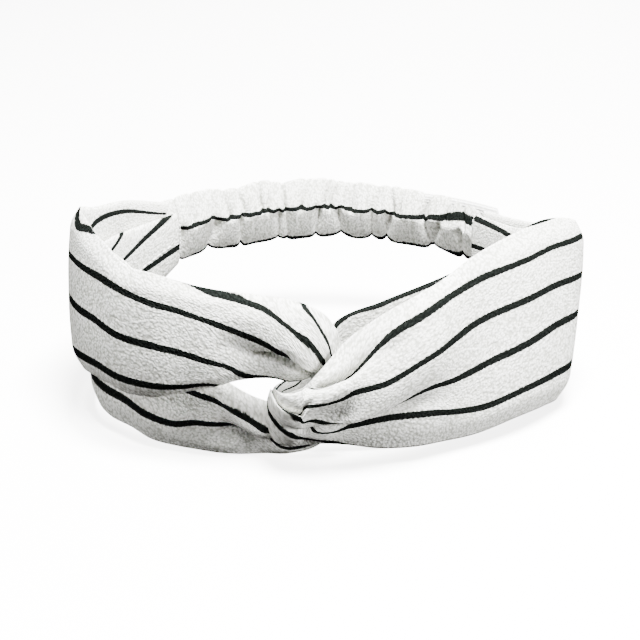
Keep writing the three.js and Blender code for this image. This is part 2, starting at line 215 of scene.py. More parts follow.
# Left loop: upper leg from its seam to the knot, the upright turn, then the lower leg back.
LEFT_SIDE = ((0, 9), (0.12, 14), (0.45, 28), (0.72, 42), (0.95, 56), (1, 64))
LOWER_SIDE = ((0, 64), (0.5, 84), (0.82, 98), (1, 106))
LEFT_LOOP = (
    Station((-57, 61, 28), (-57, 61, 51), even(2, (0, 16), (1, 58)), 1.5),
    Station((-73, 45, 20), (-70, 44, 57.5), even(4, (0, 12), (1, 64))),
    Station((-81, 24, 15), (-79, 23, 62), even(4, *LEFT_SIDE)),
    Station((-83, 6, 14), (-81.5, 7, 67.2),
            even(4, (0, 9), (0.12, 14), (0.45, 28), (0.72, 42), (0.99, 56), (1, 56.5))),
    Station((-81, -8, 16.5), (-78.5, -3, 67.5),
            even(4, (0, 9), (0.12, 14), (0.45, 28), (0.73, 42), (0.93, 56), (1, 59))),
    Station((-77, -19, 19), (-74.5, -13, 66),
            even(4, (0, 9), (0.13, 14), (0.455, 28), (0.76, 42), (1, 56))),
    Station((-71, -29, 20.5), (-69, -24, 65),
            even(4, (0, 8.5), (0.14, 14), (0.47, 28), (0.79, 42), (1, 51.5))),
    Station((-63, -37, 20), (-61.5, -36, 62.5),
            even(4, (0, 8.5), (0.145, 14), (0.48, 28), (0.84, 42), (1, 50))),
    Station((-53.5, -42, 21), (-52, -42, 62),
            even(4, (0, 9), (0.12, 14), (0.46, 28), (0.8, 42), (1, 54.4))),
    Station((-44.5, -45, 24), (-43.5, -44, 60),
            even(4, (0, 11), (0.07, 14), (0.4, 28), (0.78, 42), (1, 55))),
    Station((-35.5, -47, 26.5), (-35, -46, 58.8),
            even(4.5, (0, 12), (0.05, 14), (0.3, 28), (0.72, 42), (0.965, 56), (1, 57.2))),
    Station((-26.5, -47, 29), (-26, -47, 58),
            ((0, .1, .2, .3, .36, .42, .5, .6, .75, .85, .94, 1),
             (0, 2.6, 3.2, 3.4, 3, 3.2, 4, 4.8, 5, 4.2, 2.6, 0),
             (25.5, 28, 31, 34, 35.5, 37, 39.2, 42, 47.5, 51.8, 56, 58))),
    Station((-16.5, -46, 29), (-16.2, -47, 56.6),
            ((0, .04, .16, .29, .34, .4, .47, .6, .75, .85, .95, 1),
             (0, 1.8, 3.6, 3.4, -0.6, 5, 6.6, 6.8, 6.2, 5, 2.4, 0),
             (27.5, 28.5, 33, 37, 38.5, 40, 42, 46.5, 52, 56, 60, 62))),
    Station((-11.3, -46, 28), (-10, -47, 55.3),
            ((0, .03, .13, .24, .44, .37, .46, .58, .74, .86, .95, 1),
             (0, 1.6, 3.8, 3.6, -2.5, 5.4, 7.4, 7.6, 6.6, 5, 2.6, 0),
             (27, 28.5, 33, 37.5, 40.5, 42.5, 45, 50, 56, 61, 65, 67))),
    Station((-7.5, -46, 28.5), (-5, -47, 53.5),
            ((0, .03, .09, .14, .27, .23, .31, .44, .62, .78, .93, 1),
             (0, 1.2, 2.8, 2.6, -2, 4.6, 6.2, 6.6, 6.2, 5, 3, 0),
             (27, 29, 32, 36, 41, 46, 49, 53, 56, 61.5, 70, 73))),
    Station((-5.5, -45, 29), (-0.5, -46.5, 50.4),
            ((0, .02, .05, .08, .13, .14, .22, .33, .45, .58, .74, 1),
             (0, .8, 1.4, 1.4, .8, 2.5, 4, 5, 5.2, 5, 4, 0),
             (27, 29, 31, 35, 41, 47, 50.5, 54, 56, 61, 70, 76.5))),
    Station((-5, -44, 29), (2.8, -45, 45),
            ((0, .02, .04, .07, .1, .13, .19, .26, .34, .46, .62, 1),
             (0, .6, 1, 1, 1, 2, 3.2, 3.8, 4.2, 4.4, 4, 0),
             (27, 29, 31, 35, 41, 48, 52, 54.6, 56, 60, 70, 78.5))),
    Station((-5, -43, 28), (5, -43.5, 38), even(3, (0, 45), (0.3, 56), (0.58, 70), (1, 81)), 1.5),
    Station((-5, -42, 25), (6.5, -42, 28), even(2.5, (0, 60), (1, 92)), 1.5),
    Station((-6, -42, 22), (5, -42, 14), even(2, (0, 70), (1, 98)), 1.5),
    Station((-9, -42, 20), (-3, -42, 4), even(2.5, (0, 76), (1, 102)), 1.5),
    Station((-13, -42, 19), (-12, -42.5, 1.5), even(3, (0, 78), (0.45, 84), (1, 104)), 1.5),
    Station((-19, -40.5, 19), (-19, -41, 0.8),
            ((0, .12, .25, .37, .48, .58, .65, .63, .7, .8, .9, 1),
             (0, 2, 3, 3.6, 4, 4, 3.2, 1.2, 1.4, 1.6, 1.2, 0),
             (78.5, 80, 81.5, 82.7, 84, 88, 92, 99, 101, 104, 107, 110))),
    Station((-28.5, -39, 23), (-28.8, -41, 0.6),
            ((0, .1, .2, .336, .42, .48, .53, .54, .64, .76, .88, 1),
             (0, 1.8, 2.8, 3.6, 3.8, 3.6, 2.8, 1.6, 1.8, 1.8, 1.2, 0),
             (78, 80, 82, 84, 90, 94.5, 98.3, 99, 102, 105, 108, 111))),
    Station((-34, -38, 27), (-34.5, -40, 0.5), even(3, (0, 75), (0.32, 84), (0.585, 98), (1, 111))),
    Station((-40, -36, 32), (-40.3, -38, 0.5), even(3, (0, 73), (0.37, 84), (0.665, 98), (1, 110))),
    Station((-47, -32, 40), (-48, -36, 1), even(3, (0, 71), (0.45, 84), (0.79, 98), (1, 108))),
    Station((-55, -26, 50), (-56.5, -33, 2), even(3, (0, 66), (0.5, 84), (0.82, 98), (1, 106))),
    Station((-62, -18, 55), (-63.5, -27, 3.5), even(3, *LOWER_SIDE)),
    Station((-68, -10, 57), (-70.5, -20, 3.8), even(3, *LOWER_SIDE)),
    Station((-73, 0, 55), (-76, -9, 4), even(3, *LOWER_SIDE)),
    Station((-75.5, 13, 52), (-78, 5, 5), even(3, *LOWER_SIDE)),
    Station((-74, 26, 50), (-77, 21, 8), even(3, (0, 62), (1, 101))),
    Station((-67.5, 42, 48), (-69, 41, 16), even(3, (0, 50), (1, 121))),
    Station((-54, 58, 48), (-54, 58, 28.5), even(2, (0, 40), (1, 133)), 1.5),
)

# Right loop: front leg from its seam to the knot, the level turn, then the back leg back.
RIGHT_SIDE = ((0, 1), (0.22, 14), (0.49, 28), (0.67, 42), (0.86, 56), (1, 65))
BACK_LEG = ((0, -5), (1, 69.8))
RIGHT_LOOP = (
    Station((57, 61, 27.5), (57, 61, 48), even(2, (0, 8), (1, 58)), 1.5),
    Station((73, 46, 16), (70, 45, 49.5), even(4, (0, 2), (1, 63))),
    Station((78, 25, 6), (80, 23, 56), even(5, *RIGHT_SIDE)),
    Station((79, 9, 3), (82.5, 9, 62),
            even(4.5, (0, 1), (0.22, 14), (0.49, 28), (0.69, 42), (0.92, 56), (1, 64))),
    Station((78, -3, 3), (77.5, 3, 65),
            even(5, (0, 1), (0.2, 14), (0.48, 28), (0.68, 42), (0.89, 56), (1, 67.5))),
    Station((72, -13, 4.5), (70, -3, 66.3),
            even(5, (0, 2), (0.18, 14), (0.45, 28), (0.66, 42), (0.87, 56), (1, 70.2))),
    Station((62, -24, 5.5), (61.5, -11, 65.2),
            even(5, (0, 2), (0.165, 14), (0.415, 28), (0.65, 42), (0.86, 56), (1, 68))),
    Station((47, -34, 4), (46, -25, 61.8),
            even(5, (0, 3), (0.17, 14), (0.41, 28), (0.67, 42), (0.885, 56), (1, 63))),
    Station((36, -40, 4.3), (35, -36, 57.5),
            ((0, .1, .216, .31, .41, .53, .665, .75, .83, .88, .945, 1),
             (0, 3.2, 4.6, 4.6, 5.2, 6, 6.2, 5.8, 5, 4.4, 3, 0),
             (3, 8, 14, 21, 28, 35, 42, 46.5, 51, 54, 58, 62))),
    Station((28.5, -44, 4.7), (27.6, -43, 55.7),
            ((0, .12, .255, .34, .42, .53, .64, .74, .82, .88, .945, 1),
             (0, 3.4, 4.6, 4.2, 5.6, 7, 7.4, 6.6, 5.4, 4.6, 3, 0),
             (2.5, 8, 14, 20, 28, 35, 42, 47.5, 52, 55, 58.5, 62))),
    Station((16, -48, 6), (15.7, -47, 50),
            ((0, .13, .27, .37, .345, .44, .57, .68, .77, .85, .93, 1),
             (0, 3.2, 4.6, 3.4, 6.6, 8, 8.2, 7.2, 5.6, 4.8, 3.2, 0),
             (1.5, 7, 14, 20, 29, 35, 42, 47.5, 52, 56, 60, 64))),
    Station((6, -50, 8.2), (6, -49, 43.2),
            ((0, .11, .226, .34, .285, .41, .6, .68, .74, .69, .84, 1),
             (0, 3, 4.2, 2.6, 6.6, 7.4, 8.8, 9, 7.8, 3.4, 4.4, 0),
             (0, 6, 14, 20, 29, 34.5, 42, 46, 49.5, 56.5, 61, 67))),
    Station((-2, -51, 9), (-2, -52, 34.6),
            ((0, .12, .23, .33, .35, .48, .68, .77, .865, .81, .92, 1),
             (0, 3.4, 4, 3, 4.4, 3.8, 8, 8.6, 7.2, 3, 3.4, 0),
             (-2, 0.5, 14.2, 21, 26.5, 32.5, 42, 45.2, 49, 58, 62, 67))),
    Station((-7.4, -50, 8), (-7.2, -51, 28.4),
            ((0, .2, .31, .38, .43, .52, .65, .7, .87, 1.085, .9, 1),
             (0, 3.6, 4.4, 3.6, 5.4, 6, 7.8, 5.6, 7.6, 5.2, 1.4, 0),
             (-4, -1, 4, 5, 16.5, 26.4, 29.3, 40.3, 45.5, 52.5, 58, 61))),
    Station((-11.3, -50, 7.6), (-11.2, -51, 26.6),
            ((0, .18, .37, .51, .53, .68, .86, .64, .88, 1.1, .88, 1),
             (0, 3.2, 4.6, 4, 5.6, 7, 7, 2.6, 5.2, 4.8, 1.2, 0),
             (-6, -3.5, 0, 5, 16, 25.3, 28.2, 43.4, 48, 53, 58, 60))),
    Station((-16.2, -47.5, 8), (-14.4, -48.5, 25.4),
            ((0, .33, .67, .72, .73, .89, 1.07, .87, .98, 1.1, .9, 1),
             (0, 3, 4.2, 4.2, 4.3, 4.6, 4, 1.8, 2.6, 2.4, .8, 0),
             (-9, -5, 0, 1.6, 15.4, 20, 25, 43.4, 48, 53, 58, 60))),
    Station((-18.2, -44.5, 10.5), (-16.2, -45, 25.4),
            ((0, .35, .74, .78, .79, .88, .97, .92, .95, .98, .99, 1),
             (0, 1.8, 2, 1.9, 1.9, 1.7, 1.2, .8, .8, .5, .3, 0),
             (-10, -6, 0, 1.6, 15.4, 20, 25, 43.4, 48, 52, 53.5, 54)), 1.5),
    Station((-17, -40.5, 14), (-15, -40.5, 25), even(1.5, (0, -8), (0.4, 44), (1, 54)), 1.5),
    Station((-10, -38, 12), (-10, -38, 28), even(1.5, (0, -10), (0.4, 45), (1, 54)), 1.5),
    Station((2, -38, 6), (2, -38.5, 44.5), even(2, (0, -8), (1, 68)), 1.5),
    Station((18, -36, 3), (17, -36.5, 51), even(2, (0, -6), (1, 69.6)), 1.5),
    Station((36, -30, 2), (33, -30, 55.3), even(3, *BACK_LEG), 1.5),
    Station((56, -18, 2), (52, -17, 59), even(3, *BACK_LEG), 1.5),
    Station((70, 0, 2), (67, 1, 60), even(3, *BACK_LEG), 1.5),
    Station((74, 22, 5), (73, 21, 55), even(3, *BACK_LEG), 1.5),
    Station((68, 42, 15), (66, 41, 48.5), even(3, (0, 8), (1, 60.5)), 1.5),
    Station((54, 58, 28), (54, 58, 47.5), even(2, (0, 31), (1, 57.5)), 1.5),
)


# ------------------------------------------------------------
# Curves and surfaces
# ------------------------------------------------------------


def smooth_between(places, rows, samples):
    """Values at samples, on one smooth curve through the rows at their places."""
    slopes = np.zeros_like(rows)
    spans = np.diff(places)
    steps = np.diff(rows, axis=0) / spans[:, None]
    weight = (spans[:-1] / (spans[:-1] + spans[1:]))[:, None]
    slopes[1:-1] = steps[:-1] * (1 - weight) + steps[1:] * weight
    slopes[0], slopes[-1] = steps[0], steps[-1]
    index = np.clip(np.searchsorted(places, samples) - 1, 0, len(places) - 2)
    span = spans[index][:, None]
    t = ((samples - places[index]) / spans[index])[:, None]
    start, end = rows[index], rows[index + 1]
    return (
        (2 * t**3 - 3 * t**2 + 1) * start
        + (t**3 - 2 * t**2 + t) * span * slopes[index]
        + (-2 * t**3 + 3 * t**2) * end
        + (t**3 - t**2) * span * slopes[index + 1]
    )


def unit(vectors):
    """The vectors at length one."""
    return vectors / np.maximum(np.linalg.norm(vectors, axis=-1, keepdims=True), 1e-9)


def loop_surface(stations, side, girth):
    """Points (rows, around, xyz), lengths along and coordinates across of a loop's cloth tube.

    side is +1 where the path runs to the right along the front, -1 where it runs to the left.
    """
    table = np.array([station.row for station in stations], float)
    middle = (table[:, 0:3] + table[:, 3:6]) / 2
    places = np.concatenate([[0], np.cumsum(np.linalg.norm(np.diff(middle, axis=0), axis=1))])
    samples = np.linspace(0, places[-1], LOOP_ROWS)
    rows = smooth_between(places, table, samples)
    low, high, back = rows[:, 0:3], rows[:, 3:6], rows[:, 6:7]
    controls = rows[:, 7:].reshape(LOOP_ROWS, 3, CONTROLS).transpose(2, 0, 1)
    shape = controls.reshape(CONTROLS, -1)
    steps = np.linspace(0, CONTROLS - 1, FACE_STEPS + 1)
    face = smooth_between(np.arange(CONTROLS, dtype=float), shape, steps)
    face = face.reshape(FACE_STEPS + 1, LOOP_ROWS, 3).transpose(1, 0, 2)
    along = unit(np.gradient((low + high) / 2, axis=0))
    outward = unit(np.cross(along, high - low)) * side
    span = high - low
    front = low[:, None] + span[:, None] * face[..., 0:1] + outward[:, None] * face[..., 1:2]
    behind = np.linspace(0, 1, BACK_STEPS + 1)[1:-1]
    sink = back * swell(behind)[None, :]
    rear = high[:, None] - span[:, None] * behind[None, :, None]
    rear = rear - outward[:, None] * sink[..., None]
    points = np.concatenate([front, rear], axis=1)
    start, end = face[:, -1:, 2], face[:, :1, 2] + girth
    across = np.concatenate([face[..., 2], start + (end - start) * behind[None, :], end], axis=1)
    points[..., 2] = np.maximum(points[..., 2], TABLE_GAP)
    return points, samples, across


def ring_point(angle):
    """Points on the ring's plan at angles in degrees, measured from the front."""
    sine, cosine = np.sin(np.radians(angle)), np.cos(np.radians(angle))
    power = 2 / RING_SQUARENESS
    depth = np.where(cosine > 0, RING_FRONT_DEPTH, RING_BACK_DEPTH)
    x = RING_HALF_WIDTH * np.sign(sine) * np.abs(sine) ** power
    y = -depth * np.sign(cosine) * np.abs(cosine) ** power
    return np.stack([x, y], axis=-1)


def back_path(count, overlap=0.0):
    """Points, outward directions and lengths along the back arc, from the left seam to the right."""
    angles = np.linspace(-JOIN_ANGLE, -(360 - JOIN_ANGLE), 2000)
    plan = ring_point(angles)
    lengths = np.concatenate([[0], np.cumsum(np.linalg.norm(np.diff(plan, axis=0), axis=1))])
    wanted = np.linspace(-overlap, lengths[-1] + overlap, count)
    inside = np.clip(wanted, 0, lengths[-1])
    points = np.stack([np.interp(inside, lengths, plan[:, axis]) for axis in (0, 1)], axis=-1)
    heading = unit(np.gradient(plan, axis=0))
    first, last = heading[1], heading[-2]
    past = (wanted - inside)[:, None]
    points += first * past.clip(max=0) + last * past.clip(min=0)
    along = unit(np.gradient(points, axis=0))
    outward = np.stack([-along[:, 1], along[:, 0]], axis=-1)
    return points, outward, wanted


def ring_grid(points, outward, offsets, heights):
    """A (rows, around, xyz) grid from plan points, and offsets and heights on each section."""
    plan = points[:, None, :] + outward[:, None, :] * offsets[..., None]
    return np.concatenate([plan, heights[..., None]], axis=-1)


def round_trip(half_around):
    """Places up a tube's outer face and down its inner face, and which of them are inner."""
    place = np.linspace(0, 1, half_around + 1)
    place = np.concatenate([place[:-1], place[::-1]])
    return place, np.arange(len(place)) >= half_around


def drawn_puffs(draw, count, lengths, place, reach):
    """The cloth's fullness between uneven pinches, from 0 to 1, as a (lengths, place) array.

    With it come the stripe's drift and the edge's waver at each length.
    """
    widths = np.array([draw.uniform(*PUFF_WIDTHS) for _ in range(count)])
    total = lengths[-1] - lengths[0]
    pinches = lengths[0] + total * np.concatenate([[0], np.cumsum(widths / widths.sum())])
    upright = place - 0.5
    puff = np.ones((len(lengths), len(place)))
    drift = np.zeros(len(lengths))
    waver = np.zeros(len(lengths))
    for index, pinch in enumerate(pinches):
        slant = draw.uniform(-PINCH_SLANT, PINCH_SLANT)
        bow = draw.uniform(-PINCH_BOW, PINCH_BOW)
        depth = draw.uniform(*PINCH_DEPTHS)
        spread = reach * draw.uniform(*PINCH_SPREADS)
        line = pinch + slant * upright + bow * np.cos(2 * math.pi * upright)
        away = np.abs(lengths[:, None] - line[None, :])
        puff *= 1 - depth * np.exp(-away / spread)
        step = 1 / (1 + np.exp(-(lengths - pinch) / STRIPE_STEP_LENGTH))
        drift += draw.uniform(*STRIPE_DRIFTS) * step * (1 if index % 2 else -1)
        waver += draw.uniform(-1.0, 1.0) * np.exp(-((lengths - pinch) / EDGE_WAVER_LENGTH) ** 2)
    drift -= np.interp(lengths, [lengths[0], lengths[-1]], [drift[0], drift[-1]])
    return puff, drift, waver


def casing_surface(settings):
    """Points, lengths and coordinates of the casing: a flat tube drawn into uneven puffs."""
    draw = random.Random(settings.seed)
    points, outward, lengths = back_path(CASING_ROWS, CASING_OVERLAP)
    place, inner = round_trip(CASING_HALF_AROUND)
    shelf = (1 / (1 + np.exp((CASING_WAIST - place) / CASING_WAIST_BLUR)))[None, :]
    tops, drift, rise = drawn_puffs(draw, settings.puffs, lengths, place, TOP_PINCH_REACH)
    fewer = settings.puffs * 2 // 3
    bottoms, _, drop = drawn_puffs(draw, fewer, lengths, place, BOTTOM_PINCH_REACH)
    puff = tops * shelf + bottoms * (1 - shelf)
    ripple = sum(
        draw.uniform(*RIPPLE_HEIGHTS)
        * np.sin(2 * math.pi * lengths / draw.uniform(*RIPPLE_LENGTHS) + draw.uniform(0, 6))
        for _ in range(RIPPLE_COUNT)
    )
    half = CASING_THICKNESS / 2
    reach = np.where(place > CASING_WAIST, (1 - place) / (1 - CASING_WAIST), place / CASING_WAIST)
    ridge = np.where(inner, reach ** 0.75, swell(place, 2.1))[None, :]
    body = PINCHED_SHARE + PUFFED_SHARE * puff * settings.puff_depth
    lift = ridge * (half * body + RIPPLE_SHARE * ripple[:, None])
    offsets = np.where(inner[None, :], -lift, lift)
    low_puff, high_puff = puff[:, [0]], puff[:, [CASING_HALF_AROUND]]
    span = [lengths[0], (lengths[0] + lengths[-1]) / 2, lengths[-1]]
    crown = np.interp(lengths, span, CASING_TOP)[:, None]
    foot = np.interp(lengths, span, CASING_FOOT)[:, None]
    high = crown - CREST_DIP + CREST_SWELL * high_puff + CREST_WAVER * rise[:, None]
    low = foot + FOOT_LIFT - FOOT_SWELL * low_puff + drop[:, None]
    heights = low + (high - low) * place[None, :]
    heights = np.maximum(heights, 1)
    grid = ring_grid(points, outward, offsets, heights)
    fade = swell(place, 3)
    left, right = CASING_INNER_CLOTH
    turn = [lengths[-1] - room for room in CASING_CLOTH_TURN]
    side_cloth = np.interp(lengths, turn, [left, right])[:, None]
    bottom = CASING_STRIPE_SHIFT + 4 * STRIPE_SPACING
    outer_cloth = (side_cloth - 4 * STRIPE_SPACING) * place - CASING_STRIPE_SHIFT
    tuck = WAIST_CLOTH * np.sin(math.pi * place)
    tuck *= np.tanh((place - CASING_WAIST) / WAIST_CLOTH_BLUR)
    inner_cloth = side_cloth * place - bottom + tuck
    across = np.where(inner[None, :], inner_cloth, outer_cloth)
    across = across + drift[:, None] * fade[None, :]
    return grid[:, :-1], lengths * settings.fullness, across


def elastic_surface():
    """Points, lengths and coordinates of the flat elastic band inside the casing."""
    points, outward, lengths = back_path(ELASTIC_ROWS, CASING_OVERLAP + ELASTIC_TUCK)
    place, inner = round_trip(ELASTIC_HALF_AROUND)
    wave = ELASTIC_WAVE_HEIGHT * np.sin(2 * math.pi * lengths / ELASTIC_WAVE_LENGTH)[:, None]
    lift = ELASTIC_THICKNESS / 2 * swell(place, 8)[None, :]
    offsets = np.where(inner[None, :], -lift, lift) + wave
    low = CASING_CENTRE_Z - ELASTIC_HEIGHT / 2
    heights = np.broadcast_to(low + ELASTIC_HEIGHT * place[None, :], offsets.shape)
    grid = ring_grid(points, outward, offsets, heights)
    across = np.where(inner, 2 * ELASTIC_HEIGHT - ELASTIC_HEIGHT * place, ELASTIC_HEIGHT * place)
    return grid[:, :-1], lengths, np.broadcast_to(across[None, :], offsets.shape)


# ------------------------------------------------------------
# Meshes
# ------------------------------------------------------------


def add_object(name, mesh):
    """An object at the origin that shows the mesh."""
    thing = bpy.data.objects.new(name, mesh)
    bpy.context.scene.collection.objects.link(thing)
    return thing


def in_place(points):
    """Points in metres in the frame, from millimetres measured at the ring's widest line."""
    return (np.asarray(points, float) + np.array([0, RING_SHIFT, 0])) * MM


def tube_object(name, surface, material):
    """A closed soft tube from a surface's grid, with its cloth coordinates as a UV map in metres."""
    grid, lengths, across = surface
    rows, around = grid.shape[:2]
    points = in_place(grid).reshape(-1, 3)
    ends = np.stack([points[:around].mean(axis=0), points[-around:].mean(axis=0)])
    ring = np.arange(around)
    after = (ring + 1) % around
    faces, coordinates = [], []
    for row in range(rows - 1):
        start, nxt = row * around, (row + 1) * around
        faces.append(np.stack([start + ring, start + after, nxt + after, nxt + ring], axis=1))
        corner = np.empty((around, 4, 2))
        corner[:, :2, 0], corner[:, 2:, 0] = lengths[row], lengths[row + 1]
        corner[:, 0, 1], corner[:, 1, 1] = across[row, :-1], across[row, 1:]
        corner[:, 2, 1], corner[:, 3, 1] = across[row + 1, 1:], across[row + 1, :-1]
        coordinates.append(corner)
    quads = np.concatenate(faces)
    quad_uv = np.concatenate(coordinates).reshape(-1, 2)
    first_cap = [(len(points), int(b), int(a)) for a, b in zip(ring, after)]
    base = (rows - 1) * around
    last_cap = [(len(points) + 1, int(base + a), int(base + b)) for a, b in zip(ring, after)]
    cap_uv = []
    for row, flip in ((0, True), (rows - 1, False)):
        for spot in ring:
            pair = (across[row][spot], across[row][spot + 1])
            pair = pair[::-1] if flip else pair
            cap_uv += [(lengths[row], sum(pair) / 2), (lengths[row], pair[0]), (lengths[row], pair[1])]
    mesh = bpy.data.meshes.new(name)
    all_points = np.concatenate([points, ends])
    mesh.from_pydata(all_points.tolist(), [], quads.tolist() + first_cap + last_cap)
    layer = mesh.uv_layers.new(name="Cloth")
    flat = np.concatenate([quad_uv, np.array(cap_uv)]) * MM
    layer.data.foreach_set("uv", flat.ravel())
    mesh.polygons.foreach_set("use_smooth", np.ones(len(mesh.polygons), bool))
    mesh.materials.append(material)
    mesh.update()
    return add_object(name, mesh)


def flip_if_inside_out(thing):
    """Turns the faces of a closed mesh outwards."""
    mesh = thing.data
    mesh.calc_loop_triangles()
    spots = np.zeros(len(mesh.vertices) * 3)
    mesh.vertices.foreach_get("co", spots)
    spots = spots.reshape(-1, 3)
    corners = np.zeros(len(mesh.loop_triangles) * 3, int)
    mesh.loop_triangles.foreach_get("vertices", corners)
    a, b, c = (spots[corners.reshape(-1, 3)[:, k]] for k in range(3))
    if (a * np.cross(b, c)).sum() < 0:
        mesh.flip_normals()


# ------------------------------------------------------------
# Materials
# ------------------------------------------------------------


# Noise scales count lumps per metre, the twist's is the wave texture's own, and spacings are in metres.
WEAR_SCALE = 45.0
ELASTIC_FUZZ_SCALE = 2200.0
THREAD_FUZZ_SCALE = 5200.0
THREAD_TWIST_SCALE = 900.0
RIB_SPACING = 0.0011
PICK_SPACING = 0.0006


class Signal:
    """A node socket that takes part in sums, so that an expression adds its own Math nodes."""

    def __init__(self, shader, socket):
        self.shader = shader
        self.socket = socket

    def math(self, operation, *others, first=None):
        """A Math node on this signal and others, or with first ahead of this signal."""
        values = [self, *others] if first is None else [first, self]
        inputs = dict(enumerate(values))
        return self.shader.node("ShaderNodeMath", {"operation": operation}, inputs)

    def __add__(self, other):
        return self.math("ADD", other)

    __radd__ = __add__

    def __mul__(self, other):
        return self.math("MULTIPLY", other)

    def __sub__(self, other):
        return self.math("SUBTRACT", other)

    def __rsub__(self, other):
        return self.math("SUBTRACT", first=other)

    def __truediv__(self, other):
        return self.math("DIVIDE", other)

    def ramp(self, low, high):
        """0 below low, 1 above high, and smooth between them."""
        settings = {"interpolation_type": "SMOOTHSTEP"}
        return self.shader.node("ShaderNodeMapRange", settings, {0: self, 1: low, 2: high})


class Shader:
    """Builds one material's nodes."""

    def __init__(self, name):
        self.material = bpy.data.materials.new(name)
        self.material.use_nodes = True
        self.tree = self.material.node_tree
        self.surface = next(n for n in self.tree.nodes if n.type == "BSDF_PRINCIPLED")

    def put(self, socket, value):
        """Links a signal to the socket, or sets a plain value on it."""
        if isinstance(value, Signal):
            self.tree.links.new(value.socket, socket)
        else:
            socket.default_value = value

    def node(self, kind, settings=None, inputs=None, output=0):
        """One node with its settings, its sockets' values or links, and the output that is wanted."""
        made = self.tree.nodes.new(kind)
        for key, value in (settings or {}).items():
            setattr(made, key, value)
        for key, value in (inputs or {}).items():
            self.put(made.inputs[key], value)
        return Signal(self, made.outputs[output])

    def mix(self, factor, first, second):
        """A colour between first and second."""
        inputs = {0: factor, 6: first, 7: second}
        return self.node("ShaderNodeMix", {"data_type": "RGBA"}, inputs, 2)

    def noise(self, where, scale, detail=2.0, roughness=0.5, distortion=0.0):
        """Noise from 0 to 1 at the place, its scale in lumps per metre."""
        inputs = {"Vector": where, "Scale": scale, "Detail": detail, "Roughness": roughness,
                  "Distortion": distortion}
        return self.node("ShaderNodeTexNoise", {}, inputs, "Fac")

    def finish(self, **sockets):
        """Sets the surface's sockets by name, with underscores for spaces."""
        for name, value in sockets.items():
            self.put(self.surface.inputs[name.replace("_", " ")], value)
        return self.material


def opaque(colour):
    """The linear colour with full alpha."""
    return (*colour, 1.0)


def crepe_material(settings):
    """Pebbled crepe with lengthwise woven stripes, from the cloth's own coordinates in metres, with
    painted shade in the hollows between the pebbles and painted highlights on the stripes' raised
    pebbles.
    """
    shader = Shader("striped_crepe")
    cloth = shader.node("ShaderNodeUVMap", {"uv_map": "Cloth"})
    split = shader.node("ShaderNodeSeparateXYZ", {}, {0: cloth})
    across = Signal(shader, split.socket.node.outputs[1])
    pebble = shader.noise(cloth, 1 / settings.pebble)
    cells = shader.node("ShaderNodeTexVoronoi", {"feature": "SMOOTH_F1"},
                        {"Vector": cloth, "Scale": 0.9 / settings.pebble, "Smoothness": 0.4})
    grains = shader.node("ShaderNodeMapping", {}, {"Vector": cloth, "Scale": (0.7, 1.2, 1.0)})
    crinkle = shader.noise(grains, 0.5 / settings.pebble, 2.0, 0.5, 0.4)
    relief = pebble * 0.7 + (1 - cells) * 0.8 + crinkle * 0.15
    ragged = (pebble - 0.5) * settings.stripe_raggedness
    turns = across / settings.stripe_spacing + 1000.5
    from_line = (turns.math("FRACT") - 0.5).math("ABSOLUTE") * settings.stripe_spacing + ragged
    half = settings.stripe_width / 2
    stripe = 1 - from_line.ramp(half - settings.stripe_blur, half + settings.stripe_blur)
    broad = shader.noise(cloth, WEAR_SCALE)
    worn = opaque(settings.cloth_shadow)
    pale = shader.mix(broad.ramp(0.3, 0.7), opaque(settings.cloth_colour), worn)
    # Painted shade: the pale ground darkens to the hollow colour where the pebbles' relief is low, in
    # the hollows between them.
    shade_speckled = shader.mix(relief.ramp(0.6, 1.0), opaque(settings.pebble_hollow_shade), pale)
    # Painted highlight: the dark stripes lighten to this colour on the tops of the pebbles, where the
    # relief is high.
    stripe_highlight = opaque(settings.stripe_pebble_highlight)
    dark = shader.mix(pebble.ramp(0.35, 0.75), opaque(settings.stripe_colour), stripe_highlight)
    colour = shader.mix(stripe, shade_speckled, dark)
    normal = shader.node("ShaderNodeBump", {},
                         {"Height": relief, "Distance": settings.relief, "Strength": 0.85})
    rough = 0.86 - stripe * 0.1 + (pebble - 0.5) * 0.08
    return shader.finish(Base_Color=colour, Roughness=rough, Normal=normal, Specular_IOR_Level=0.0)


def elastic_material():
    """White knitted elastic with lengthwise ribs and tiny crosswise picks, and painted shade in the
    grooves between them.
    """
    shader = Shader("knitted_elastic")
    cloth = shader.node("ShaderNodeUVMap", {"uv_map": "Cloth"})
    split = shader.node("ShaderNodeSeparateXYZ", {}, {0: cloth})
    across = Signal(shader, split.socket.node.outputs[1])
    ribs = (across * (2 * math.pi / RIB_SPACING)).math("SINE") * 0.5 + 0.5
    picks = (split * (2 * math.pi / PICK_SPACING)).math("SINE") * 0.5 + 0.5
    fuzz = shader.noise(cloth, ELASTIC_FUZZ_SCALE)
    relief = ribs * 0.7 + picks * 0.3 + fuzz * 0.3
    # Painted shade: the white elastic darkens where the ribs' and picks' relief is low, in their
    # grooves, with some random fuzz.
    colour = shader.mix(relief.ramp(0.2, 1.1), (0.52, 0.52, 0.5, 1), (0.82, 0.82, 0.8, 1))
    normal = shader.node("ShaderNodeBump", {}, {"Height": relief, "Distance": 0.0003, "Strength": 0.8})
    return shader.finish(Base_Color=colour, Roughness=0.7 + fuzz * 0.15, Normal=normal)


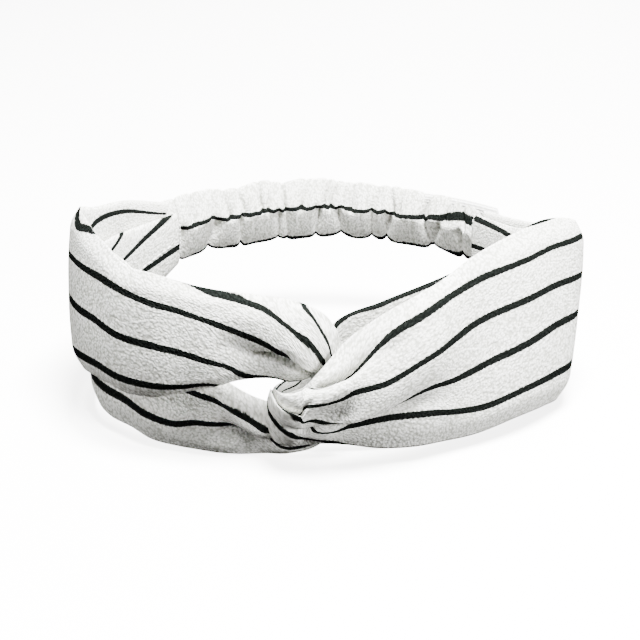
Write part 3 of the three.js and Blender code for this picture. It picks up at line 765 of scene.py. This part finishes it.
def thread_material():
    """Spun white sewing thread with a fine twist, and painted shade in the twist's grooves."""
    shader = Shader("sewing_thread")
    place = shader.node("ShaderNodeTexCoord", {}, {}, "Object")
    fuzz = shader.noise(place, THREAD_FUZZ_SCALE)
    twist = shader.node("ShaderNodeTexWave", {"wave_type": "BANDS", "bands_direction": "DIAGONAL"},
                        {"Vector": place, "Scale": THREAD_TWIST_SCALE, "Distortion": 1.0}, "Fac")
    relief = twist * 0.7 + fuzz * 0.3
    # Painted shade: the white thread darkens where the twist's relief is low, with some random fuzz.
    colour = shader.mix(relief.ramp(0.1, 0.9), (0.6, 0.6, 0.57, 1), (0.86, 0.86, 0.83, 1))
    normal = shader.node("ShaderNodeBump", {}, {"Height": relief, "Distance": 0.0001, "Strength": 0.7})
    return shader.finish(Base_Color=colour, Roughness=0.6 + fuzz * 0.1, Normal=normal)


def plain_material(name, colour, rough, glow):
    """A plain matt finish for the stage."""
    shader = Shader(name)
    return shader.finish(Base_Color=(*colour, 1), Roughness=rough, Emission_Color=(*colour, 1),
                         Emission_Strength=glow)


def ready(name, make, *inputs):
    """The material of that name, made on its first use."""
    return bpy.data.materials.get(name) or make(*inputs)


# ------------------------------------------------------------
# Stitches
# ------------------------------------------------------------


def stitch_tree():
    """Geometry nodes that lay a row of thread stitches along a line."""
    tree = bpy.data.node_groups.new("stitch_row", "GeometryNodeTree")
    sockets = tree.interface
    sockets.new_socket("Geometry", in_out="INPUT", socket_type="NodeSocketGeometry")
    for name, value in (("Spacing", 0.003), ("Length", 0.0024), ("Radius", 0.0003)):
        socket = sockets.new_socket(name, in_out="INPUT", socket_type="NodeSocketFloat")
        socket.default_value = value
    sockets.new_socket("Material", in_out="INPUT", socket_type="NodeSocketMaterial")
    sockets.new_socket("Geometry", in_out="OUTPUT", socket_type="NodeSocketGeometry")

    def node(kind, settings=None, inputs=None):
        made = tree.nodes.new(kind)
        for key, value in (settings or {}).items():
            setattr(made, key, value)
        for key, value in (inputs or {}).items():
            if isinstance(value, bpy.types.NodeSocket):
                tree.links.new(value, made.inputs[key])
            else:
                made.inputs[key].default_value = value
        return made

    entry = node("NodeGroupInput").outputs
    line = node("GeometryNodeMeshToCurve", {}, {0: entry["Geometry"]})
    spots = node("GeometryNodeCurveToPoints", {"mode": "LENGTH"}, {0: line.outputs[0]})
    tree.links.new(entry["Spacing"], spots.inputs["Length"])
    turn = node("FunctionNodeAlignRotationToVector", {"axis": "Z"},
                {"Vector": spots.outputs["Tangent"]})
    half = node("ShaderNodeMath", {"operation": "MULTIPLY"}, {0: entry["Length"], 1: 0.5})
    size = node("ShaderNodeCombineXYZ", {},
                {0: entry["Radius"], 1: entry["Radius"], 2: half.outputs[0]})
    bead = node("GeometryNodeMeshUVSphere", {}, {"Segments": 8, "Rings": 6, "Radius": 1.0})
    laid = node("GeometryNodeInstanceOnPoints", {},
                {"Points": spots.outputs["Points"], "Instance": bead.outputs[0],
                 "Rotation": turn.outputs[0], "Scale": size.outputs[0]})
    whole = node("GeometryNodeRealizeInstances", {}, {0: laid.outputs[0]})
    smooth = node("GeometryNodeSetShadeSmooth", {}, {0: whole.outputs[0]})
    finished = node("GeometryNodeSetMaterial", {},
                    {"Geometry": smooth.outputs[0], "Material": entry["Material"]})
    node("NodeGroupOutput", {}, {0: finished.outputs[0]})
    return tree


def stitch_rows(name, lines, settings, spacing=None, length=None):
    """One mesh of stitches along the lines, each a list of points in metres."""
    points, edges = [], []
    for line in lines:
        start = len(points)
        points += [tuple(spot) for spot in line]
        edges += [(start + k, start + k + 1) for k in range(len(line) - 1)]
    mesh = bpy.data.meshes.new(name + "_line")
    mesh.from_pydata(points, edges, [])
    line_object = add_object(name + "_line", mesh)
    tree = bpy.data.node_groups.get("stitch_row") or stitch_tree()
    modifier = line_object.modifiers.new("stitches", "NODES")
    modifier.node_group = tree
    wanted = {
        "Spacing": spacing or settings.spacing,
        "Length": length or settings.length,
        "Radius": settings.thread_radius,
        "Material": ready("sewing_thread", thread_material),
    }
    for item in tree.interface.items_tree:
        if item.in_out == "INPUT" and item.name in wanted:
            modifier[item.identifier] = wanted[item.name]
    graph = bpy.context.evaluated_depsgraph_get()
    finished = bpy.data.meshes.new_from_object(line_object.evaluated_get(graph))
    if not finished.polygons:
        raise RuntimeError(f"{name} has no stitches")
    bpy.data.objects.remove(line_object)
    finished.name = name
    return add_object(name, finished)


def surface_line(surface, column, lift, skip, step=2):
    """A line in metres along one column of a surface's grid, lifted off it by lift millimetres.

    skip is how many rows are left out at each end, and step is from one row used to the next.
    """
    grid = surface[0]
    middle = grid.mean(axis=1)
    spots = grid[:, column]
    away = unit(spots - middle)
    line = in_place(spots + away * lift)
    return line[skip[0]:len(line) - skip[1]:step]


# ------------------------------------------------------------
# Settings
# ------------------------------------------------------------


def length_setting(name, description, default):
    """A length in metres that a user would change."""
    return bpy.props.FloatProperty(name=name, description=description, default=default, min=0.0,
                                   precision=5, subtype="DISTANCE", unit="LENGTH")


def number_setting(name, description, default):
    """A plain number that a user would change."""
    return bpy.props.FloatProperty(name=name, description=description, default=default)


def colour_setting(name, description, default):
    """A linear colour that a user would change."""
    return bpy.props.FloatVectorProperty(name=name, description=description, default=default,
                                         size=3, min=0.0, max=1.0, subtype="COLOR")


class HeadbandCloth(bpy.types.PropertyGroup):
    """Sizes and colours of the striped crepe."""

    stripe_spacing: length_setting("Stripe spacing", "From one stripe's middle to the next", 0.014)
    stripe_width: length_setting("Stripe width", "Width of a woven stripe", 0.0026)
    stripe_blur: length_setting("Stripe edge", "How softly a stripe's edge fades", 0.00018)
    stripe_raggedness: number_setting("Stripe wander", "How far the crepe's pebbles ruffle an edge",
                                      0.0007)
    pebble: length_setting("Pebble size", "Size of the crepe's pebbles", 0.0008)
    relief: length_setting("Relief", "Height of the crepe's pebbles", 0.00034)
    cloth_colour: colour_setting("Cloth", "Colour of the ground", (0.86, 0.86, 0.828))
    cloth_shadow: colour_setting("Cloth, worn", "Colour where the ground is duller", (0.8, 0.8, 0.757))
    # Painted shade: the ground's colour in the hollows between the pebbles.
    pebble_hollow_shade: colour_setting("Hollows", "Colour between the pebbles", (0.47, 0.475, 0.43))
    stripe_colour: colour_setting("Stripe", "Colour of the stripes", (0.003, 0.0037, 0.0032))
    # Painted highlight: the stripes' colour on the tops of their pebbles.
    stripe_pebble_highlight: colour_setting("Stripe, raised", "Colour on the stripes' pebbles",
                                (0.008, 0.0095, 0.0085))


class HeadbandCasing(bpy.types.PropertyGroup):
    """How the back casing is gathered on its elastic."""

    puffs: bpy.props.IntProperty(name="Puffs", description="Puffs between the pinches", default=21,
                                 min=3)
    puff_depth: number_setting("Puff depth", "How far the puffs swell", 1.0)
    fullness: number_setting("Fullness", "Cloth length over gathered length", 1.36)
    seed: bpy.props.IntProperty(name="Seed", description="Seed of the uneven gathers", default=11)


class HeadbandStitches(bpy.types.PropertyGroup):
    """Sizes of the machine stitches."""

    spacing: length_setting("Spacing", "From one stitch to the next", 0.0026)
    length: length_setting("Length", "Length of a stitch", 0.0021)
    thread_radius: length_setting("Thread radius", "Half the thread's thickness", 0.00028)


# ------------------------------------------------------------
# Pieces
# ------------------------------------------------------------


def declare_loop(surface, girth):
    """Works out how large the sewn tube lies flat, its ends tapered towards the casing, and keeps none
    of it.
    """
    width, length = girth / 2, float(surface[1][-1])
    area = width * length - (width - TUBE_END_WIDTH) * TUBE_END_TAPER
    width * MM
    length * MM
    area * MM * MM


class HEADBAND_OT_loops(bpy.types.Operator):
    """Make the two striped crepe loops that lock in the front knot"""

    bl_idname = "headband.loops"
    bl_label = "Crepe loops"

    def execute(self, context):
        cloth = context.scene.headband_cloth
        material = ready("striped_crepe", crepe_material, cloth)
        stitches = context.scene.headband_stitches
        for name, stations, side, girth in (
            ("left_loop", LEFT_LOOP, 1, LEFT_GIRTH),
            ("right_loop", RIGHT_LOOP, -1, RIGHT_GIRTH),
        ):
            surface = loop_surface(stations, side, girth)
            piece = tube_object(name + "_cloth", surface, material)
            flip_if_inside_out(piece)
            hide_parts(name)
            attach(piece, "front")
            declare_loop(surface, girth)
            line = surface_line(surface, FACE_STEPS + BACK_STEPS // 2, LOOP_SEAM_LIFT, (6, 6))
            seam = stitch_rows(name + "_seam_stitches", [line], stitches)
            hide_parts(name + "_seam_thread")
            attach(seam, "front")
        return {"FINISHED"}


class HEADBAND_OT_casing(bpy.types.Operator):
    """Make the gathered casing at the back, its elastic and its seam"""

    bl_idname = "headband.casing"
    bl_label = "Gathered casing"

    def execute(self, context):
        scene = context.scene
        material = ready("striped_crepe", crepe_material, scene.headband_cloth)
        surface = casing_surface(scene.headband_casing)
        casing = tube_object("casing_cloth", surface, material)
        elastic_shape = elastic_surface()
        elastic = tube_object("elastic_band", elastic_shape, ready("knitted_elastic", elastic_material))
        line = surface_line(surface, CASING_SEAM_COLUMN, CASING_SEAM_LIFT, (8, 8), 1)
        seam = stitch_rows("casing_seam_stitches", [line], scene.headband_stitches)
        for piece, nodes, finish in (
            (casing, ("casing_left", "casing_middle", "casing_right"), "crepe"),
            (elastic, ("elastic_left", "elastic_middle", "elastic_right"), "elastic"),
            (seam, tuple("casing_seam_thread_" + part for part in ("left", "middle", "right")),
             "thread"),
        ):
            flip_if_inside_out(piece)
            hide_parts(*nodes)
            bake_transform(piece)
        gathered = float(surface[1][-1] - surface[1][0]) * MM
        length = float(elastic_shape[1][-1] - elastic_shape[1][0]) * MM
        return {"FINISHED"}


class HEADBAND_OT_joins(bpy.types.Operator):
    """Sew the loops to the casing, and tack the elastic's ends inside"""

    bl_idname = "headband.joins"
    bl_label = "Join stitches"

    def execute(self, context):
        stitches = context.scene.headband_stitches
        for side, name in ((-1, "left"), (1, "right")):
            join = stitch_rows(name + "_join_row", join_lines(side), stitches, *JOIN_STITCH)
            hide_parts(name + "_join_stitches")
            tack = stitch_rows(name + "_tack_row", tack_lines(side), stitches, *TACK_STITCH)
            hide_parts(name + "_elastic_tack")
            for piece in (join, tack):
                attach(piece, "front")
        return {"FINISHED"}


def box_corners(node):
    """A node's lowest and highest corners as arrays, in metres."""
    return np.array(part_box(node)[0]), np.array(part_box(node)[1])


def join_lines(side):
    """Rows of stitches over the seam between the loops' ends and the casing, in metres."""
    points, outward, lengths = back_path(JOIN_PATH_POINTS, CASING_OVERLAP)
    end = 0 if side < 0 else 2
    place = np.linspace(*JOIN_ROW_SPAN, JOIN_ROW_POINTS)
    heights = CASING_FOOT[end] + (CASING_TOP[end] - CASING_FOOT[end]) * place
    bulge = swell(place, 2.6)
    lines = []
    for inset in JOIN_ROW_INSETS:
        distance = lengths[0] + inset if side < 0 else lengths[-1] - inset
        row = int(np.argmin(np.abs(lengths - distance)))
        for offset in (-JOIN_ROW_LIFT, JOIN_ROW_LIFT):
            plan = points[row] + outward[row] * offset * bulge[:, None]
            lines.append(in_place(np.concatenate([plan, heights[:, None]], axis=1)))
    return lines


def tack_lines(side):
    """Two rows of stitches through the elastic's end, in metres."""
    low, high = box_corners("left_elastic_tack" if side < 0 else "right_elastic_tack")
    middle = (low + high) / 2
    lines = []
    heights = np.linspace(low[2] + TACK_MARGIN, high[2] - TACK_MARGIN, TACK_POINTS)
    for shift in (-TACK_SPREAD, TACK_SPREAD):
        lines.append([(middle[0], middle[1] + shift, z) for z in heights])
    return lines


class HEADBAND_OT_stage(bpy.types.Operator):
    """Set the floor, the soft lights, the surroundings and the camera"""

    bl_idname = "headband.stage"
    bl_label = "Stage"

    def execute(self, context):
        scene = context.scene
        mesh = bpy.data.meshes.new("floor")
        signs = ((-1, -1), (1, -1), (1, 1), (-1, 1))
        corners = [(FLOOR_REACH * x, FLOOR_REACH * y, 0) for x, y in signs]
        mesh.from_pydata(corners, [], [(0, 1, 2, 3)])
        floor = add_object("floor", mesh)
        mesh.materials.append(plain_material("pale_floor", FLOOR_COLOUR, FLOOR_ROUGHNESS, FLOOR_GLOW))
        floor.visible_diffuse = False
        world = bpy.data.worlds.new("soft_surroundings")
        world.use_nodes = True
        background = world.node_tree.nodes["Background"]
        background.inputs["Color"].default_value = (*WORLD_COLOUR, 1)
        background.inputs["Strength"].default_value = WORLD_STRENGTH
        scene.world = world
        centre = Vector(LIGHT_AIM)
        for name, place, size, power in LIGHTS:
            data = bpy.data.lights.new(name, "AREA")
            data.shape = "DISK"
            data.size = size
            data.energy = power
            light = bpy.data.objects.new(name, data)
            light.location = place
            light.rotation_euler = (centre - Vector(place)).to_track_quat("-Z", "Y").to_euler()
            scene.collection.objects.link(light)
        data = bpy.data.cameras.new("camera")
        data.lens = CAMERA_LENS
        data.sensor_width = CAMERA_SENSOR
        data.clip_start, data.clip_end = CAMERA_CLIP
        camera = bpy.data.objects.new("camera", data)
        aim = Vector((CAMERA_AIM_X, RING_SHIFT, CAMERA_AIM_Z)) * MM
        tilt = math.radians(CAMERA_ELEVATION)
        away = Vector((0, -math.cos(tilt), math.sin(tilt)))
        camera.location = aim + away * CAMERA_DISTANCE * MM
        camera.rotation_euler = away.to_track_quat("Z", "Y").to_euler()
        scene.collection.objects.link(camera)
        scene.camera = camera
        return {"FINISHED"}


class HEADBAND_PT_panel(bpy.types.Panel):
    """Lists the headband's pieces and settings"""

    bl_idname = "HEADBAND_PT_panel"
    bl_label = "Headband"
    bl_space_type = "VIEW_3D"
    bl_region_type = "UI"
    bl_category = "Headband"

    def draw(self, context):
        for piece in PIECES:
            self.layout.operator(piece.bl_idname)
        for group in ("headband_cloth", "headband_casing", "headband_stitches"):
            settings = getattr(context.scene, group)
            box = self.layout.box()
            for name in type(settings).__annotations__:
                box.prop(settings, name)


PIECES = (HEADBAND_OT_loops, HEADBAND_OT_casing, HEADBAND_OT_joins, HEADBAND_OT_stage)
CLASSES = (HeadbandCloth, HeadbandCasing, HeadbandStitches, *PIECES, HEADBAND_PT_panel)


def register():
    """Adds the headband's classes and its settings to the scene."""
    for item in CLASSES:
        bpy.utils.register_class(item)
    bpy.types.Scene.headband_cloth = bpy.props.PointerProperty(type=HeadbandCloth)
    bpy.types.Scene.headband_casing = bpy.props.PointerProperty(type=HeadbandCasing)
    bpy.types.Scene.headband_stitches = bpy.props.PointerProperty(type=HeadbandStitches)


def unregister():
    """Takes the headband's classes and settings away again."""
    for name in ("headband_cloth", "headband_casing", "headband_stitches"):
        delattr(bpy.types.Scene, name)
    for item in reversed(CLASSES):
        bpy.utils.unregister_class(item)


def main():
    """Makes every piece in order."""
    register()
    bpy.ops.headband.loops()
    bpy.ops.headband.casing()
    bpy.ops.headband.joins()
    bpy.ops.headband.stage()


if __name__ == "__main__":
    main()
